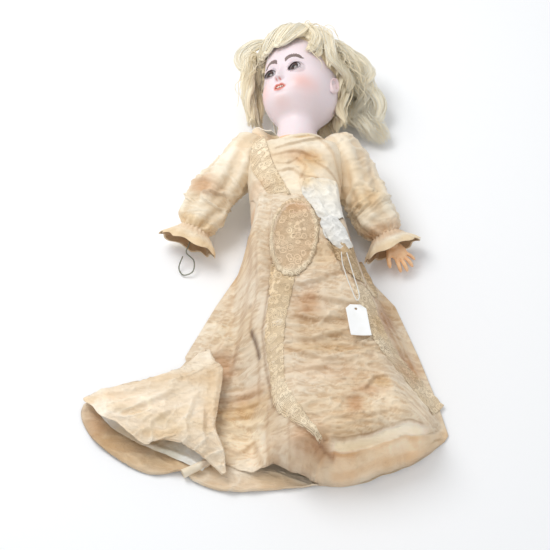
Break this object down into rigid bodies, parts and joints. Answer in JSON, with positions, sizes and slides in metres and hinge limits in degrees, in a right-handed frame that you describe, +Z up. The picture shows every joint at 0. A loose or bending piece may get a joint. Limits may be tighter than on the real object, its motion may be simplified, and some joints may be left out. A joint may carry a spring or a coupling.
{
  "type": "porcelain doll",
  "caption": "Jointed bisque-head doll with glass eyes and a blonde mohair wig, lying on its back in a long cream satin gown with a lace-trimmed train",
  "frame": {"origin": "on the surface the doll lies on, under the middle of its outline", "axes": "+Y runs from the hem to the crown, +X to the doll's left, +Z up from its back to its front"},
  "size_m": [0.412, 0.625, 0.1122],
  "materials": {
    "bisque": "matte tinted bisque",
    "composition": "varnished composition",
    "teeth": "glossy white",
    "pate": "plain board",
    "mohair": "blonde mohair",
    "eye_glass": "polished brown glass",
    "lead": "dull cast weight",
    "wire": "dull grey-green wire",
    "wood": "turned wood",
    "elastic": "covered elastic",
    "satin": "aged cream satin",
    "gown_silk": "aged cream silk with tan staining",
    "cotton": "white cotton",
    "lace": "ecru lace and net",
    "string": "white cotton thread",
    "ticket_card": "blank white card"
  },
  "bodies": {
    "torso": {"torso_front_shell": "composition", "torso_back_shell": "composition", "arm_elastic": "elastic", "leg_elastic_left": "elastic", "leg_elastic_right": "elastic", "bodice": "satin", "neck_piping": "satin", "collar_stand": "satin", "lace_strap": "lace", "skirt_front": "gown_silk", "petticoat": "cotton", "skirt_back": "gown_silk", "train_upper": "gown_silk", "train_under": "gown_silk", "train_inner_fold": "cotton", "front_net_panel": "lace", "skirt_lace_left": "lace", "skirt_lace_right": "lace", "waist_flap": "cotton", "waistband_lace": "lace", "ticket_string": "string", "price_ticket": "ticket_card"},
    "neck": {"neck_button": "wood", "neck_hook": "wire"},
    "head": {"bisque_head": "bisque", "upper_teeth": "teeth", "crown_pate": "pate", "mohair_wig": "mohair"},
    "eyes": {"left_eyeball": "eye_glass", "right_eyeball": "eye_glass", "eye_bridge": "lead", "eye_weight": "lead"},
    "left_shoulder": {"left_shoulder_ball": "composition"},
    "left_upper_arm": {"left_upper_arm": "composition", "left_elbow_ball": "composition", "left_upper_sleeve": "satin"},
    "left_forearm": {"left_forearm": "composition", "left_lower_sleeve": "satin", "left_cuff": "satin"},
    "left_hip": {"left_hip_ball": "composition"},
    "left_thigh": {"left_thigh": "composition", "left_knee_ball": "composition"},
    "left_shin": {"left_lower_leg": "composition"},
    "right_shoulder": {"right_shoulder_ball": "composition"},
    "right_upper_arm": {"right_upper_arm": "composition", "right_elbow_ball": "composition", "right_upper_sleeve": "satin"},
    "right_forearm": {"right_forearm": "composition", "right_lower_sleeve": "satin", "right_cuff": "satin", "right_wrist_pin": "wire"},
    "right_hip": {"right_hip_ball": "composition"},
    "right_thigh": {"right_thigh": "composition", "right_knee_ball": "composition"},
    "right_shin": {"right_lower_leg": "composition"},
    "left_hand": {"left_hand": "composition"},
    "right_wire": {"right_wire_loop": "wire"}
  },
  "joints": [
    {"name": "neck_turn", "type": "hinge", "parent": "torso", "child": "neck", "pos_m": [0.036, 0.14147, 0.05], "axis": [0.087, 0.9944, 0.0593], "range_deg": [-60, 90]},
    {"name": "head_nod", "type": "hinge", "parent": "neck", "child": "head", "pos_m": [0.036, 0.14147, 0.05], "axis": [0.8327, -0.1053, 0.5437], "range_deg": [-10, 12]},
    {"name": "eye_rock", "type": "hinge", "parent": "head", "child": "eyes", "pos_m": [0.0229, 0.22543, 0.08632], "axis": [0.8327, -0.1053, 0.5437], "range_deg": [0, 55]},
    {"name": "left_shoulder_swing", "type": "hinge", "parent": "torso", "child": "left_shoulder", "pos_m": [0.091, 0.12547, 0.048], "axis": [-1, 0, 0], "range_deg": [-10, 100]},
    {"name": "left_shoulder_lift", "type": "hinge", "parent": "left_shoulder", "child": "left_upper_arm", "pos_m": [0.091, 0.12547, 0.048], "axis": [0, 0, 1], "range_deg": [0, 50], "deforming": ["left_upper_sleeve"]},
    {"name": "left_elbow_bend", "type": "hinge", "parent": "left_upper_arm", "child": "left_forearm", "pos_m": [0.123, 0.06047, 0.04], "axis": [-0.8906, -0.4548, 0], "range_deg": [-5, 60], "deforming": ["left_lower_sleeve", "left_cuff"]},
    {"name": "right_shoulder_swing", "type": "hinge", "parent": "torso", "child": "right_shoulder", "pos_m": [-0.023, 0.12547, 0.048], "axis": [-1, 0, 0], "range_deg": [-10, 100]},
    {"name": "right_shoulder_lift", "type": "hinge", "parent": "right_shoulder", "child": "right_upper_arm", "pos_m": [-0.023, 0.12547, 0.048], "axis": [0, 0, -1], "range_deg": [-14, 40], "deforming": ["right_upper_sleeve"]},
    {"name": "right_elbow_bend", "type": "hinge", "parent": "right_upper_arm", "child": "right_forearm", "pos_m": [-0.067, 0.06747, 0.042], "axis": [-0.8944, 0.4472, 0], "range_deg": [-5, 60], "deforming": ["right_lower_sleeve", "right_cuff"]},
    {"name": "left_wrist_turn", "type": "hinge", "parent": "left_forearm", "child": "left_hand", "pos_m": [0.147, 0.01347, 0.024], "axis": [0.4352, -0.8523, -0.2901], "range_deg": [-70, 70]},
    {"name": "right_wire_swing", "type": "hinge", "parent": "right_forearm", "child": "right_wire", "pos_m": [-0.09085, 0.01977, 0.0264], "axis": [0.8944, -0.4472, 0], "range_deg": [-20, 20]},
    {"name": "left_hip_spread", "type": "hinge", "parent": "torso", "child": "left_hip", "pos_m": [0.057, -0.02653, 0.041], "axis": [0, 0, 1], "range_deg": [-1.5, 1.5]},
    {"name": "left_leg_turn", "type": "hinge", "parent": "left_hip", "child": "left_thigh", "pos_m": [0.057, -0.02653, 0.041], "axis": [0.2687, -0.9603, -0.0749], "range_deg": [-10, 10]},
    {"name": "left_knee_bend", "type": "hinge", "parent": "left_thigh", "child": "left_shin", "pos_m": [0.08602, -0.13024, 0.03291], "axis": [0.963, 0.2695, 0], "range_deg": [-2, 2]},
    {"name": "right_hip_spread", "type": "hinge", "parent": "torso", "child": "right_hip", "pos_m": [0.011, -0.02653, 0.041], "axis": [0, 0, -1], "range_deg": [-1.5, 1.5]},
    {"name": "right_leg_turn", "type": "hinge", "parent": "right_hip", "child": "right_thigh", "pos_m": [0.011, -0.02653, 0.041], "axis": [0.2522, -0.9647, -0.0752], "range_deg": [-10, 10]},
    {"name": "right_knee_bend", "type": "hinge", "parent": "right_thigh", "child": "right_shin", "pos_m": [0.03824, -0.13072, 0.03288], "axis": [0.9675, 0.253, 0], "range_deg": [-2, 2]}
  ]
}
